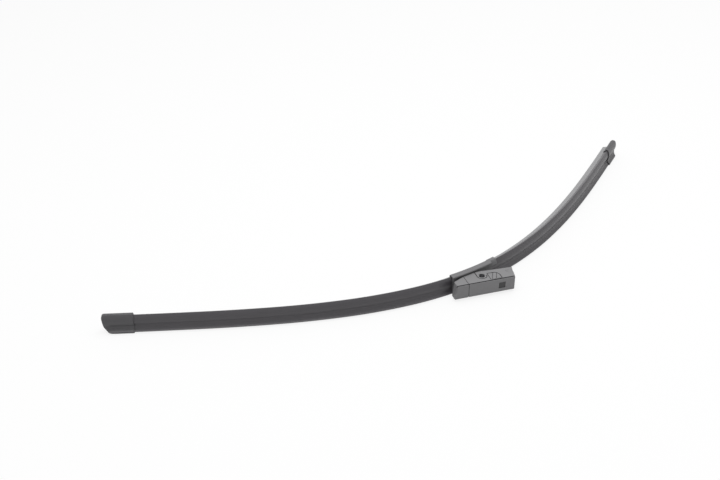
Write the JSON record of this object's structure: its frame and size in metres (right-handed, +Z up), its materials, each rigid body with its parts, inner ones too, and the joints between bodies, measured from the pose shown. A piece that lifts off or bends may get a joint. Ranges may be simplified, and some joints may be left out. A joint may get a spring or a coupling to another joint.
{
  "type": "wiper blade",
  "caption": "Bowed flat wiper blade lying on its side, with a wedge-lip rubber on spring rails, air-foil spoilers, end caps and a tilting arm adapter with squeeze tabs.",
  "frame": {"origin": "on the resting face of the connector base, at the station where the bow is tightest", "axes": "+X along the blade at the connector towards the short side, +Y towards the wiping lip, +Z up from the lee side that the blade lies on to the windward side"},
  "size_m": [0.6551, 0.1694, 0.0196],
  "materials": {
    "wiping_rubber": "graphite-coated natural rubber, matt",
    "spring_steel": "black-coated spring steel",
    "spoiler": "soft black elastomer, satin",
    "cap_plastic": "fine-grained black plastic",
    "base_plastic": "fine-grained black plastic",
    "adapter_plastic": "fine-grained dark grey plastic",
    "pin_steel": "plain bright steel"
  },
  "bodies": {
    "blade": {"wiping_rubber": "wiping_rubber", "rail_windward": "spring_steel", "rail_lee": "spring_steel", "spoiler_long": "spoiler", "spoiler_short": "spoiler", "end_cap_long": "cap_plastic", "end_cap_short": "cap_plastic", "connector_base": "base_plastic", "pivot_pin": "pin_steel"},
    "adapter": {"adapter_body": "adapter_plastic", "nose_cover": "adapter_plastic", "tab_spring": "pin_steel"},
    "windward_tab": {"tab_windward": "adapter_plastic"},
    "lee_tab": {"tab_lee": "adapter_plastic"}
  },
  "joints": [
    {"name": "adapter_tilt", "type": "hinge", "parent": "blade", "child": "adapter", "pos_m": [0.0052, -0.0128, 0.0098], "axis": [0, 0, 1], "range_deg": [0, 24]},
    {"name": "windward_press", "type": "slide", "parent": "adapter", "child": "windward_tab", "axis": [0, 0, -1], "range_m": [0, 0.0014], "stiffness_N_per_m": 600, "deforming": ["tab_spring"]},
    {"name": "lee_press", "type": "slide", "parent": "adapter", "child": "lee_tab", "axis": [0, 0, 1], "range_m": [0, 0.0014], "stiffness_N_per_m": 600, "deforming": ["tab_spring"]}
  ]
}
